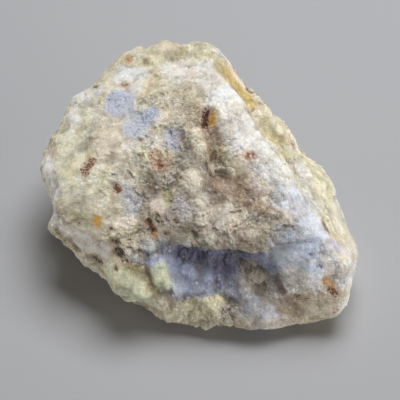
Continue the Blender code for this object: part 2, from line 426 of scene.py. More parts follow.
# Washes: the broad colours of whole sides of the stone. Compass angle and tilt of the middle, both in
# degrees, how wide it spreads in degrees, colour and strength.
WASHES = {
    "left_yellow": (180, 20, 38, PALE_YELLOW, 0.7),
    "left_low_cream": (215, -15, 32, CREAM, 0.7),
    "front_left_yellow": (235, -12, 16, PALE_YELLOW, 0.6),
    "right_yellow": (5, 10, 40, PALE_YELLOW, 0.35),
    "back_pink": (95, 10, 30, PINK_GREY, 0.6),
    "back_left_olive": (135, 0, 26, SAGE, 0.45),
    "back_right_blue": (55, -5, 14, SLATE_BLUE, 0.75),
    "back_blue_rim": (68, 6, 12, PALE_BLUE, 0.6),
    "back_left_blue": (118, -18, 13, SKY_BLUE, 0.7),
    "underside_grey": (200, -80, 50, GREY, 0.6),
    "underside_tan": (60, -60, 24, TAN, 0.5),
    "right_low_pale": (350, -20, 24, WHITE, 0.8),
}

# Patches: the marks that one runs through, its half width in mm, colour, strength and raggedness. The
# strength is the share of its colour at its middle. The raggedness is how far its edge wanders, in half
# widths.
PATCHES = {
    # The broad fields of the top, the middle, the lip, the crest and the right flank.
    "top_field": (((165, 80), (200, 85)), 7.5, CREAM, 0.35, 0.6),
    "upper_field": (((150, 78), (185, 98)), 4.5, CREAM, 0.5, 0.7),
    "fibrous_white": (((178, 68), (205, 70), (226, 92)), 3.4, WHITE, 0.75, 0.4),
    "top_cream": (((158, 48), (205, 50)), 3.0, PALE_YELLOW, 0.6, 0.5),
    "top_left_cream": (((112, 70), (150, 58)), 3.0, CREAM, 0.6, 0.6),
    "upper_left_white": (((122, 80), (134, 88)), 1.6, WHITE, 0.7, 0.5),
    "left_field_pink": (((104, 118), (112, 138), (110, 165)), 4.2, PINK_GREY, 0.6, 0.7),
    "left_field_grey": (((88, 108), (86, 140)), 2.8, GREY, 0.7, 0.7),
    "middle_grey": (((122, 148), (118, 156), (136, 168)), 3.0, GREY, 0.5, 0.8),
    "middle_white": (((138, 138), (150, 146)), 2.6, WHITE, 0.6, 0.7),
    "orange_field": (((156, 156), (161, 165)), 1.3, ORANGE, 0.4, 0.6),
    "left_smooth": (((74, 124), (70, 150)), 4.0, MILKY_GREEN, 0.9, 0.4),
    "left_lower": (((66, 190), (95, 188), (88, 205)), 4.2, MILKY_GREEN, 0.8, 0.6),
    "left_lower_cream": (((60, 212), (100, 208), (120, 225)), 3.8, CREAM, 0.7, 0.6),
    "middle_field": (((165, 178), (180, 205)), 3.8, GREY, 0.7, 0.6),
    "middle_olive_grey": (((138, 168), (145, 185)), 3.0, GREY_GREEN, 0.35, 0.8),
    "left_of_olive": (((126, 180), (134, 192)), 1.8, GREY, 0.7, 0.6),
    "low_middle_grey": (((150, 205), (175, 225), (205, 232)), 4.0, DARK_GREY, 0.85, 0.6),
    # Partly grey-brown streaks, partly painted shade on the slope below the crest.
    "below_crest_grey_and_shade": (((235, 190), (262, 212), (285, 225)), 5.2, DARK_GREY, 0.6, 0.5),
    "speckled_ledge": (((208, 214), (232, 222)), 3.4, GREY, 0.7, 0.7),
    "lip_top": (((168, 240), (200, 241)), 1.9, GREY_GREEN, 0.75, 0.6),
    "lip_cream_left": (((140, 243), (152, 250)), 1.7, CREAM, 0.85, 0.5),
    "lip_dirt": (((225, 238), (262, 240)), 2.0, DARK_GREY, 0.65, 0.6),
    "lip_right_pale": (((264, 226), (276, 232)), 1.7, GREY, 0.7, 0.5),
    "centre_tan": (((180, 118), (198, 118)), 3.0, TAN, 0.5, 0.5),
    "centre_cream": (((168, 108), (196, 138)), 3.0, CREAM, 0.6, 0.7),
    "crest_white": (((226, 96), (238, 118), (262, 160), (280, 182)), 3.4, COOL_WHITE, 0.55, 0.3),
    "crest_left_white": (((212, 98), (226, 125), (250, 165), (262, 185)), 2.6, WHITE, 0.6, 0.5),
    "crest_low_blue": (((290, 196), (305, 212), (318, 234)), 3.0, PALE_BLUE, 0.75, 0.4),
    "right_field_cream": (((262, 110), (290, 140), (318, 175)), 4.5, CREAM, 0.6, 0.7),
    "right_shelf_grey": (((290, 160), (312, 200)), 3.4, COOL_GREY, 0.55, 0.7),
    "right_rim_yellow": (((300, 152), (326, 182), (331, 204)), 2.0, PALE_YELLOW, 0.6, 0.5),
    "right_low_cream": (((335, 215), (342, 240)), 3.4, CREAM, 0.7, 0.5),
    "far_right_white": (((352, 262), (354, 276)), 2.6, COOL_WHITE, 0.85, 0.4),
    # The blue face in front, below the lip. front_field lays the lower front darker, partly as painted shade,
    # and front_violet and lip_under_edge are the mineral's violet, darkened as painted shade under the lip.
    "front_field": (((160, 262), (200, 285), (262, 300)), 5.0, LILAC_GREY, 0.7, 0.5),
    "front_blue": (((184, 270), (200, 276), (212, 280)), 2.8, DUSK_BLUE, 0.9, 0.45),
    "front_blue_left": (((170, 264), (184, 272), (194, 281)), 1.7, SLATE_BLUE, 0.85, 0.5),
    "front_violet": (((176, 252), (192, 255), (218, 261), (250, 266), (268, 264)), 1.4, VIOLET, 0.9, 0.5),
    "lip_shadow_left": (((163, 250), (178, 250), (204, 253)), 1.3, VIOLET, 0.85, 0.5),
    "lip_under_edge": (((208, 252), (236, 254), (262, 256)), 0.8, VIOLET, 0.9, 0.4),
    "front_blue_low": (((272, 262), (276, 282)), 2.0, DUSK_BLUE, 0.85, 0.5),
    "front_indigo": (((218, 267), (228, 270)), 1.2, INDIGO, 0.8, 0.6),
    "front_violet_middle": (((230, 270), (238, 275)), 1.2, VIOLET, 0.8, 0.5),
    "front_far_left": (((150, 258), (164, 264)), 1.4, SLATE_BLUE, 0.85, 0.5),
    "front_low_slope": (((178, 294), (205, 292)), 1.9, SLATE_BLUE, 0.85, 0.6),
    "blue_round": (((222, 283), (230, 287)), 1.7, DUSK_BLUE, 0.85, 0.4),
    "front_low_blue": (((226, 292), (236, 295)), 1.3, SKY_BLUE, 0.85, 0.4),
    "front_low_left": (((168, 284), (176, 292)), 1.4, PALE_BLUE, 0.8, 0.4),
    "front_brown_grey": (((250, 272), (262, 284)), 2.4, DARK_GREY, 0.95, 0.5),
    "block_pale": (((288, 252), (302, 257), (310, 264)), 3.6, ICE_BLUE, 1.0, 0.3),
    "block_blue": (((314, 256), (318, 270)), 2.5, POWDER_BLUE, 0.95, 0.35),
    "block_low_pale": (((312, 279), (320, 277)), 1.3, PALE_BLUE, 0.9, 0.4),
    "block_speckle": (((290, 278), (304, 284)), 2.2, WHITE, 0.9, 0.6),
    "lilac_lump": (((244, 300), (256, 309), (268, 318)), 2.4, POWDER_BLUE, 0.95, 0.3),
    # Painted highlight: a paler band along the lilac lump's ridge.
    "lilac_lump_painted_highlight": (((250, 302), (260, 309), (270, 316)), 1.2, PALE_BLUE, 0.7, 0.3),
    # The front rim, from its yellow end to its rusty corner, and the sage lobe at its left.
    "rim_cream": (((300, 312), (318, 311), (332, 306)), 2.6, CREAM, 0.9, 0.5),
    "rim_brown": (((284, 308), (296, 313)), 1.3, BROWN, 0.85, 0.5),
    "foot_brown": (((268, 300), (284, 302), (296, 303)), 1.4, BROWN, 0.75, 0.5),
    "corner_pale": (((300, 286), (316, 289), (330, 286)), 2.4, WHITE, 0.95, 0.4),
    "rim_shade": (((254, 290), (266, 296), (280, 305)), 0.8, DARK_GREY, 0.9, 0.4),
    # Painted shade: a broad dark grey laid along the lower front rim.
    "low_rim_painted_shade": (((238, 304), (258, 312), (282, 312), (290, 309)), 3.0, DARK_GREY, 0.45, 0.5),
    "rim_yellow": (((172, 307), (195, 307), (216, 308)), 2.3, PALE_YELLOW, 0.9, 0.4),
    "rim_grey": (((235, 318), (250, 322), (285, 322)), 1.4, GREY, 0.8, 0.5),
    "rim_left_pink": (((158, 300), (170, 303)), 1.4, PINK_WHITE, 0.85, 0.5),
    "green_facet": (((160, 271), (164, 286)), 1.6, PALE_SAGE, 0.9, 0.4),
    "sage_lobe": (((113, 276), (127, 288), (146, 296)), 3.0, PALE_SAGE, 0.9, 0.3),
    "sage_lobe_shade": (((132, 268), (144, 277), (151, 290)), 0.9, SAGE, 0.7, 0.5),
    "rust_corner_white": (((343, 280), (344, 302)), 2.6, WHITE, 0.9, 0.4),
    "corner_edge_white": (((330, 262), (336, 273), (341, 284)), 1.5, WHITE, 0.9, 0.5),
    "corner_low_cream": (((306, 298), (322, 300), (338, 298)), 1.9, CREAM, 0.9, 0.5),
    "right_low_white": (((332, 268), (340, 276)), 2.4, WHITE, 0.85, 0.4),
    # Honey, olive, cream and white of the top and right edges, with one lilac facet.
    "cream_knob": (((160, 44), (170, 46)), 2.2, CREAM, 0.9, 0.3),
    "knob_recess": (((170, 56), (176, 55), (182, 52)), 1.2, OLIVE, 0.7, 0.6),
    "top_right_olive": (((200, 52), (214, 60)), 1.4, SAGE, 0.6, 0.6),
    "top_white_knob": (((218, 52), (228, 60)), 1.3, COOL_WHITE, 0.7, 0.4),
    "fibrous_top_right": (((204, 64), (214, 72)), 1.5, WHITE, 0.8, 0.4),
    "vein_olive": (((221, 67), (229, 75)), 1.7, OLIVE, 0.9, 0.3),
    "vein_gold": (((229, 78), (236, 87), (243, 96)), 2.5, GOLD, 0.9, 0.25),
    "vein_amber": (((242, 94), (249, 103)), 1.6, GOLD, 0.95, 0.4),
    "yellow_hollow": (((266, 124), (276, 140), (286, 152)), 1.9, OLIVE, 0.85, 0.5),
    "yellow_hollow_light": (((280, 148), (290, 156)), 1.2, SAGE, 0.8, 0.5),
    "right_knob": (((292, 134), (297, 146)), 1.2, WHITE, 0.85, 0.4),
    "right_streak": (((314, 174), (327, 184), (330, 202)), 0.9, SAGE, 0.8, 0.4),
    "right_rim_cream": (((334, 196), (341, 218)), 1.2, CREAM, 0.7, 0.5),
    "right_lilac_facet": (((332, 244), (344, 250)), 1.5, LILAC, 0.9, 0.3),
    "right_pink": (((348, 256), (354, 260)), 1.0, PINK_GREY, 0.8, 0.5),
    # Blues, lilacs and one pink of the top, the middle and the lip.
    "blue_one_top": (((118, 95), (126, 96)), 1.5, PALE_BLUE, 0.5, 0.6),
    "lilac_middle_soft": (((177, 203), (184, 213)), 1.4, LILAC, 0.7, 0.6),
    "blue_left_soft": (((127, 194), (131, 206)), 1.5, PALE_BLUE, 0.6, 0.5),
    "cool_top": (((120, 72), (142, 73)), 1.6, COOL_WHITE, 0.7, 0.5),
    "lilac_right": (((278, 232), (298, 233)), 1.2, LILAC_GREY, 0.7, 0.6),
    "pink_lip": (((236, 228), (250, 232)), 1.2, PINK_GREY, 0.6, 0.7),
    # Knobs and lumps, white, grey and pink.
    "left_white_lump": (((70, 112), (74, 122)), 1.8, WHITE, 0.95, 0.4),
    "left_edge_white": (((74, 100), (92, 92)), 1.5, COOL_WHITE, 0.6, 0.6),
    "left_knob_white": (((48, 160), (48, 180), (54, 192)), 2.6, WHITE, 0.9, 0.4),
    "left_rim_white": (((54, 214), (62, 228)), 1.8, WHITE, 0.7, 0.5),
    "left_block_white": (((82, 240), (100, 248)), 2.2, WHITE, 0.9, 0.5),
    "left_low_rim": (((75, 258), (98, 276)), 1.6, PINK_GREY, 0.8, 0.5),
    "white_knob_crack": (((120, 223), (132, 221)), 1.1, PINK_WHITE, 0.8, 0.5),
    "disc": (((190, 176), (194, 184)), 2.0, GREY, 0.8, 0.4),
    "disc_upper": (((176, 162), (184, 164)), 1.5, GREY_GREEN, 0.8, 0.5),
    "pink_boss": (((156, 206), (161, 209)), 1.5, PINK_GREY, 0.7, 0.4),
    "ridge_pink_lump": (((242, 162), (250, 180), (262, 192)), 1.6, PINK_WHITE, 0.85, 0.5),
    # Hollows, cracks and fine lines, most of them brown, grey or olive.
    "right_brown_spot": (((324, 224), (328, 231)), 0.7, DARK_BROWN, 0.7, 0.6),
    "top_brown_dots": (((132, 64), (146, 63)), 0.6, BROWN, 0.6, 0.9),
    "lump_left_crack": (((232, 287), (240, 296), (236, 309)), 0.45, DUSK_BLUE, 0.6, 0.6),
    "lobe_groove_end": (((156, 297), (168, 294)), 0.7, DARK_BROWN, 0.7, 0.6),
    "lobe_groove": (((128, 266), (142, 270), (150, 283), (158, 296)), 0.7, OLIVE, 0.8, 0.5),
    "block_crack_dark": (((280, 247), (297, 242), (318, 240)), 0.45, SLATE_BLUE, 0.75, 0.5),
    "crack_right_pale": (((304, 237), (317, 238)), 0.9, PALE_BLUE, 0.7, 0.3),
    "crack_dark": (((214, 266), (216, 276), (219, 286)), 0.5, INDIGO, 0.8, 0.6),
    "notch_dark": (((278, 278), (281, 290)), 0.8, DARK_BROWN, 0.8, 0.6),
    "vein_dark_edge": (((246, 84), (255, 96)), 0.6, DARK_BROWN, 0.7, 0.5),
    "fibre_line": (((186, 66), (204, 74), (218, 92)), 0.3, GREY, 0.6, 0.5),
    "fibre_line_low": (((176, 78), (196, 84), (210, 100)), 0.3, GREY, 0.6, 0.5),
    "crest_line": (((236, 112), (250, 140), (270, 172), (292, 200)), 0.3, COOL_GREY, 0.5, 0.5),
    "rim_crease_brown": (((62, 232), (76, 247), (95, 260)), 0.6, BROWN, 0.7, 0.7),
    # A dark patch in the crevice left of the lip.
    "lip_left_dark": (((162, 226), (176, 234)), 2.0, DARK_GREY, 0.7, 0.6),
    "lip_shadow_dirt": (((196, 223), (180, 228)), 0.8, DARK_GREY, 0.5, 0.8),
    "brown_red_line": (((150, 172), (154, 190)), 0.8, DARK_BROWN, 0.6, 0.8),
    "hollow_dark": (((212, 178), (216, 196)), 2.0, DARK_BROWN, 0.8, 0.7),
    "zone_streak": (((245, 205), (270, 212), (290, 215)), 0.8, TAN, 0.5, 0.8),
    "trough_brown": (((207, 130), (213, 144), (216, 154)), 1.8, BROWN, 0.85, 0.5),
    "groove": (((178, 130), (186, 146), (192, 160)), 1.7, GREY, 0.8, 0.7),
    "groove_deep": (((181, 134), (188, 148), (193, 158)), 0.9, DARK_GREY, 0.75, 0.6),
    "groove_lower": (((186, 158), (212, 170)), 1.8, DARK_GREY, 0.75, 0.8),
    "trough_foot": (((216, 169), (228, 173)), 1.3, GREY, 0.8, 0.6),
    "trough_yellow": (((222, 150), (230, 164), (240, 172)), 1.1, PALE_YELLOW, 0.6, 0.6),
    "zone_dark": (((222, 182), (238, 190), (252, 200)), 2.2, BROWN, 0.7, 0.7),
    "olive_yellow_spot": (((139, 150), (144, 154)), 1.0, PALE_YELLOW, 0.7, 0.6),
    "between_blues": (((144, 100), (152, 101)), 1.0, GREY, 0.6, 0.7),
    "left_sage_streak": (((74, 213), (90, 221)), 1.0, SAGE, 0.8, 0.5),
    "left_crease": (((92, 126), (86, 140), (82, 150)), 0.9, GREY_GREEN, 0.8, 0.6),
    "left_tan": (((52, 150), (56, 156)), 1.1, TAN, 0.6, 0.6),
    "top_yellow_band": (((122, 58), (136, 62), (150, 64)), 1.1, PALE_YELLOW, 0.7, 0.7),
}

# Spots: speckled patches with a broken edge, and rust and pits. The marks that one runs through, half width
# and depth in mm, how solidly its colour covers (from 0 to 1), its colour, and the colour around it.
SPOTS = {
    "blue_one_low": (((114, 110), (128, 113)), 1.3, 0.0, 0.4, SKY_BLUE, GREY),
    "blue_one": (((118, 102), (126, 104)), 2.1, 0.0, 0.42, BLUE, COOL_WHITE),
    "blue_one_deep": (((114, 98), (121, 104)), 1.1, 0.0, 0.44, SLATE_BLUE, PALE_BLUE),
    "blue_two_low": (((133, 130), (140, 130)), 1.2, 0.0, 0.45, SKY_BLUE, COOL_WHITE),
    "blue_two": (((134, 121), (149, 117)), 2.0, 0.0, 0.42, BLUE, COOL_WHITE),
    "blue_two_deep": (((142, 120), (152, 116)), 0.9, 0.0, 0.44, SLATE_BLUE, PALE_BLUE),
    "blue_three": (((170, 134), (172, 145)), 1.2, 0.0, 0.5, SKY_BLUE, GREY),
    "blue_low_left": (((127, 193), (131, 206)), 1.2, 0.0, 0.35, SKY_BLUE, GREY),
    "lilac_streak": (((178, 202), (183, 213)), 1.0, 0.0, 0.3, LILAC, GREY),
    "orange_brown": (((155, 156), (160, 165)), 1.0, 0.0, 0.35, RUST, TAN),
    "orange_brown_core": (((158, 163), (160, 166)), 0.45, 0.25, 0.7, RUST, TAN),
    "orange_beside": (((168, 158), (170, 162)), 0.5, 0.0, 0.35, TAN, TAN),
    "olive_spot": (((167, 195), (169, 201)), 0.7, 0.15, 0.7, OLIVE, SAGE),
    "rust_one": (((85, 172), (88, 163)), 1.0, 0.3, 0.56, RUST_BROWN, TAN),
    "rust_two": (((115, 188), (117, 191)), 0.6, 0.35, 0.75, RUST_BROWN, TAN),
    "amber_pale": (((216, 109), (218, 118)), 0.45, 0.0, 0.75, PALE_YELLOW, PINK_WHITE),
    "amber_spot": (((212, 113), (212, 121)), 0.68, 0.2, 0.95, AMBER, TAN),
    "amber_crescent": (((206, 111), (205, 124)), 0.68, 0.5, 1.0, RUST_DARK, TAN),
    "crest_rust": (((248, 157), (252, 156)), 0.45, 0.25, 0.62, RUST, TAN),
    "top_rust": (((122, 84), (125, 85)), 0.35, 0.2, 0.6, RUST, TAN),
    "left_orange": (((96, 221), (97, 225)), 0.6, 0.15, 0.85, AMBER, TAN),
    "lip_rust": (((149, 223), (153, 231)), 0.7, 0.45, 0.8, RUST_BROWN, TAN),
    "lip_orange": (((153, 231), (154, 235)), 0.45, 0.0, 0.8, ORANGE, TAN),
    "pit_big": (((117, 252), (120, 255)), 0.75, 0.55, 0.8, BLACK_BROWN, TAN),
    "pit_upper": (((112, 242), (117, 243)), 0.38, 0.3, 0.8, DARK_BROWN, TAN),
    "pit_lower": (((121, 262), (126, 262)), 0.42, 0.35, 0.8, DARK_BROWN, TAN),
    "pit_lowest": (((115, 268), (116, 270)), 0.35, 0.3, 0.8, DARK_BROWN, TAN),
    "rim_dark": (((95, 257), (100, 262)), 0.5, 0.25, 0.8, DARK_BROWN, TAN),
    "rim_dots": (((222, 311), (230, 311), (237, 308)), 0.5, 0.2, 0.52, DARK_BROWN, GREY),
    "rim_dot_low": (((223, 319), (226, 320)), 0.4, 0.2, 0.5, DARK_BROWN, CREAM),
    "foot_spots": (((296, 299), (306, 300)), 0.5, 0.2, 0.5, DARK_BROWN, TAN),
    "foot_spot_low": (((281, 320), (298, 321)), 0.35, 0.1, 0.45, BROWN, CREAM),
    "corner_orange": (((327, 280), (331, 288)), 0.7, 0.2, 0.7, ORANGE, PINK_WHITE),
    "corner_rust": (((330, 288), (335, 295)), 0.5, 0.35, 0.75, RUST_BROWN, TAN),
    "corner_rust_low": (((334, 298), (336, 312)), 0.35, 0.1, 0.42, RUST, PINK_WHITE),
    "block_dots": (((309, 254), (310, 255)), 0.2, 0.16, 0.75, VIOLET, SKY_BLUE),
    "block_dot_low": (((318, 265), (320, 266)), 0.25, 0.16, 0.75, VIOLET, SKY_BLUE),
    "knob_brown": (((292, 144), (294, 147)), 0.45, 0.2, 0.8, BROWN, PINK_GREY),
    "top_olive_pit": (((144, 60), (147, 62)), 0.3, 0.2, 0.6, BROWN, SAGE),
    "top_orange_pit": (((127, 59), (130, 61)), 0.5, 0.2, 0.7, ORANGE, TAN),
    "speck_one": (((166, 233), (168, 233)), 0.35, 0.2, 0.5, BLACK_BROWN, BROWN),
    "speck_two": (((175, 220), (177, 221)), 0.3, 0.2, 0.5, BLACK_BROWN, BROWN),
    "speck_three": (((240, 240), (246, 240)), 0.3, 0.0, 0.4, DARK_BROWN, BROWN),
    "speck_four": (((94, 87), (95, 87)), 0.28, 0.15, 0.8, DARK_BROWN, GREY),
    "speck_five": (((109, 229), (110, 229)), 0.28, 0.2, 0.8, DARK_BROWN, CREAM),
    "speck_six": (((156, 216), (157, 222)), 0.35, 0.2, 0.5, BLACK_BROWN, BROWN),
}

# Spots on the sides that the marks don't reach: each place is the compass angle and tilt of its ray.
FAR_SPOTS = {
    "back_blue_lobe": (((52, -4), (60, -10)), 3.4, 0.0, 0.55, SKY_BLUE, COOL_WHITE),
    "back_blue_deep": (((56, -8), (60, -12)), 1.6, 0.2, 0.55, SLATE_BLUE, SKY_BLUE),
    "back_left_blue_lobe": (((112, -16), (122, -20)), 3.0, 0.0, 0.52, SKY_BLUE, COOL_WHITE),
    "back_violet_seam": (((116, -20), (126, -14), (134, -12)), 0.9, 0.3, 0.55, VIOLET, SLATE_BLUE),
    "back_rust": (((86, 12), (88, 16)), 1.1, 0.35, 0.62, RUST, TAN),
    "back_rust_small": (((104, 4), (105, 5)), 0.7, 0.3, 0.62, RUST, TAN),
    "back_left_rust": (((146, 8), (150, 4)), 0.9, 0.3, 0.62, RUST_BROWN, TAN),
    "back_left_orange": (((158, -6), (161, -8)), 1.2, 0.2, 0.5, ORANGE, TAN),
    "back_amber": (((72, 18), (75, 20)), 0.8, 0.2, 0.8, AMBER, TAN),
    "back_olive": (((98, 26), (108, 24)), 1.6, 0.0, 0.5, OLIVE, SAGE),
    "back_pit": (((124, 14), (125, 15)), 0.6, 0.5, 0.8, BLACK_BROWN, BROWN),
    "back_pit_small": (((96, -8), (97, -9)), 0.5, 0.4, 0.8, DARK_BROWN, BROWN),
    "right_rust": (((18, 4), (20, 0)), 0.8, 0.3, 0.62, RUST, TAN),
    "right_pit": (((30, -12), (31, -13)), 0.55, 0.45, 0.8, BLACK_BROWN, BROWN),
    "right_orange": (((4, -10), (7, -12)), 1.0, 0.15, 0.5, ORANGE, TAN),
    "right_lilac": (((38, 14), (44, 16)), 2.0, 0.0, 0.45, LILAC, COOL_WHITE),
    "left_rust_low": (((196, -24), (198, -28)), 0.8, 0.3, 0.6, RUST, TAN),
    "left_pit": (((184, -8), (185, -9)), 0.55, 0.45, 0.8, BLACK_BROWN, BROWN),
    "left_orange_low": (((172, -2), (174, -5)), 1.0, 0.15, 0.5, ORANGE, TAN),
    "left_low_blue": (((206, -38), (214, -40)), 2.2, 0.0, 0.5, SKY_BLUE, COOL_WHITE),
    "under_blue": (((300, -55), (330, -60)), 3.0, 0.0, 0.5, SKY_BLUE, COOL_WHITE),
    "under_rust": (((120, -60), (130, -62)), 1.2, 0.2, 0.6, RUST, TAN),
}

# Small lumps that stand out of the skin: the marks that one runs through, its radius and its height in mm.
LUMPS = {
    "disc": (((190, 180), (192, 181)), 2.4, 0.50),
    "beside_disc": (((203, 199), (206, 201)), 1.5, 0.35),
    "low_disc": (((176, 196), (178, 197)), 1.6, 0.35),
    "pink_boss": (((157, 206), (159, 207)), 1.6, 0.45),
    "pale_ridge": (((200, 221), (208, 213), (216, 207)), 1.2, 0.45),
    "pale_ridge_low": (((222, 226), (232, 219), (242, 214)), 1.3, 0.40),
    "left_of_lip": (((176, 240), (184, 241)), 1.5, 0.35),
    "lip_lump": (((206, 238), (214, 240)), 1.6, 0.40),
    "lip_lump_right": (((244, 236), (252, 236)), 1.4, 0.35),
    "crest_flank_top": (((240, 164), (243, 168)), 1.5, 0.40),
    "crest_flank_middle": (((250, 182), (253, 186)), 1.6, 0.40),
    "crest_flank_low": (((268, 204), (272, 208)), 1.5, 0.40),
    "under_amber": (((222, 128), (226, 138)), 1.2, 0.35),
    "slot_fill": (((214, 171), (222, 172), (230, 175)), 1.5, 0.45),
    "ridge_beside_groove": (((196, 134), (200, 146), (203, 156)), 1.5, 0.45),
    "left_white": (((72, 114), (74, 119)), 1.9, 0.45),
    "left_smooth": (((66, 138), (68, 146)), 2.6, 0.40),
    "left_field": (((98, 148), (101, 152)), 2.2, 0.30),
    "left_field_low": (((96, 196), (100, 198)), 2.4, 0.35),
    "left_block": (((82, 240), (90, 243)), 2.0, 0.50),
    "left_block_right": (((100, 248), (105, 250)), 1.6, 0.40),
    "left_ledge": (((112, 222), (128, 221), (142, 216)), 1.3, 0.45),
    "top_orange": (((128, 61), (130, 62)), 1.1, 0.35),
    "top_orange_right": (((150, 58), (152, 59)), 1.1, 0.35),
    "cream_knob": (((162, 45), (164, 46)), 1.9, 0.50),
    "cream_knob_right": (((182, 49), (186, 50)), 1.6, 0.40),
    "above_blue": (((146, 80), (150, 82)), 1.8, 0.30),
    "upper_left_field": (((122, 78), (126, 80)), 1.7, 0.35),
    "fibrous_top": (((180, 72), (190, 71), (200, 72)), 1.3, 0.30),
    "right_pink": (((293, 139), (295, 142)), 1.2, 0.35),
    "right_field": (((300, 166), (304, 170)), 1.7, 0.35),
    "right_field_low": (((320, 200), (323, 206)), 1.5, 0.35),
    "low_flank": (((336, 222), (340, 228)), 1.8, 0.40),
    "far_low_flank": (((344, 250), (348, 256)), 1.6, 0.40),
    "blue_lump_left": (((188, 270), (191, 272)), 1.6, 0.40),
    "blue_lump_right": (((206, 274), (209, 276)), 1.7, 0.45),
    "blue_lump_round": (((224, 285), (228, 287)), 1.6, 0.40),
    "front_low_lump": (((230, 294), (234, 296)), 1.3, 0.40),
    "pale_blue_left": (((156, 260), (162, 261)), 1.3, 0.35),
    "brown_round": (((256, 277), (259, 278)), 1.6, 0.40),
    "lilac_ridge": (((244, 300), (256, 309), (268, 318)), 1.5, 0.50),
    "yellow_rim": (((180, 306), (186, 306)), 1.5, 0.40),
    "yellow_rim_right": (((206, 308), (212, 308)), 1.4, 0.40),
    "rim_grey": (((240, 318), (246, 320)), 1.4, 0.35),
    "foot_cream": (((304, 312), (312, 311)), 1.5, 0.40),
    "block_lump": (((294, 252), (300, 254)), 2.0, 0.35),
    "block_lump_right": (((316, 262), (319, 268)), 1.6, 0.35),
    "corner_lump": (((330, 288), (334, 296)), 1.5, 0.40),
    "lip_left_lump": (((140, 243), (148, 246)), 1.5, 0.35),
    "left_rim_lump": (((62, 226), (66, 232)), 1.5, 0.35),
    "sage_left": (((122, 276), (126, 280)), 1.7, 0.45),
    "sage_right": (((140, 290), (146, 294)), 1.5, 0.40),
}

# Waxy places, where the grains are fused smooth: the marks that one runs through and its half width in mm.
WAXY = {
    "left_low": (((64, 194), (92, 204), (110, 214)), 4.0),
    "left_block": (((80, 236), (104, 248)), 2.6),
    "top_left": (((90, 96), (120, 74), (150, 68)), 2.6),
    "upper_field": (((122, 84), (146, 88), (164, 82)), 2.4),
    "fibrous": (((180, 70), (206, 74), (222, 88)), 2.8),
    "orange_field": (((154, 158), (161, 165)), 1.7),
    "right_field": (((270, 112), (300, 150), (322, 188)), 2.6),
    "foot": (((286, 312), (330, 308)), 2.2),
    "left_smooth": (((74, 122), (68, 152)), 4.2),
    "left_knob": (((48, 162), (50, 182)), 2.6),
    "cream_knob": (((160, 44), (172, 48)), 2.4),
    "vein": (((220, 66), (236, 86), (248, 101)), 1.6),
    "crest": (((226, 96), (240, 122), (264, 162), (300, 205), (318, 232)), 3.0),
    "sage_lobe": (((116, 272), (150, 294)), 3.4),
    "green_facet": (((154, 264), (162, 288)), 2.0),
    "blue_block": (((290, 256), (318, 264)), 3.4),
    "blue_face": (((172, 270), (208, 280)), 3.6),
    "lilac_lump": (((248, 298), (268, 316)), 2.8),
    "lilac_facet": (((332, 244), (344, 250)), 2.0),
    "right_low": (((336, 216), (354, 270)), 3.2),
    "yellow_hollow": (((268, 126), (284, 152)), 2.0),
}


def seen(points):
    """Where points, in mm from the heart, land in the frame: across, down, and mm in front of the camera."""
    from_camera = points + HEART - camera_place / MM
    depth = -(from_camera @ camera_back)
    scale = FRAME_SIDE / FRAME_WIDTH * CAMERA_DISTANCE / depth
    middle = FRAME_SIDE / 2
    return middle + from_camera[:, 0] * scale, middle - (from_camera @ camera_up) * scale, depth


POINTS_APART = 0.01  # mm, so that no run of a route has a length of 0
across, down, depth = seen(bare)


def on_stone(marks):
    """The places on the stone's skin that show at these marks of the frame: the nearest one to the camera."""
    places = []
    for k, (x, y) in enumerate(marks):
        away = np.hypot(across - x, down - y)
        close = np.flatnonzero(away < max(1.6, away.min() + 0.4))
        front = close[depth[close] < depth[close].min() + 1.2]
        places.append(bare[front[np.argmin(away[front])]] + POINTS_APART * k)
    return places


def on_ray(angles):
    """The places on the stone's skin that these compass angles and tilts point at from the heart."""
    return [bare[np.argmax(rays @ unit(*angle))] + POINTS_APART * k for k, angle in enumerate(angles)]


# Tone and painted shade. The painted shade in creases, crevices and seams multiplies the colour that it lies
# on, in its share.
TONE = 1.18  # how light the whole stone is
BRIGHTEST = 0.88  # no channel of the colour is lighter than this
CREASE_SHADE_TINT = (0.72, 0.66, 0.58)
CREASE_SHADE_SHARE = 0.45
CREVICE_SHADE_TINT = (0.62, 0.54, 0.44)
CREVICE_SHADE_SHARE = 0.62
CHIP_SEAM_SHADE_SHARE = 0.42
LUMP_FOOT_SHADE_SHARE = 0.58
HALO_SHARE = 0.7  # of the colour around a spot

# Ragged: fields from about -1 to 1 that make the edges of patches wander, with swings of three sizes.
RAGGED_SIZES = ((3.0, 0.5), (1.3, 0.35), (0.6, 0.3))
ragged = sum(share * mottle(bare, size, 60 + seed, 4) for seed, (size, share) in enumerate(RAGGED_SIZES))


def reach_of(marks, half_width, raggedness, field):
    """How far each point lies from a route of marks, as a share of the half width, with a ragged edge."""
    shift, _ = along(bare, on_stone(marks))
    return np.linalg.norm(shift, axis=1) / half_width + raggedness * ragged[:, field % 4]


def lay(under, over, share):
    """One colour laid over another in each point's share."""
    return under + share[:, None] * (np.array(over) - under)


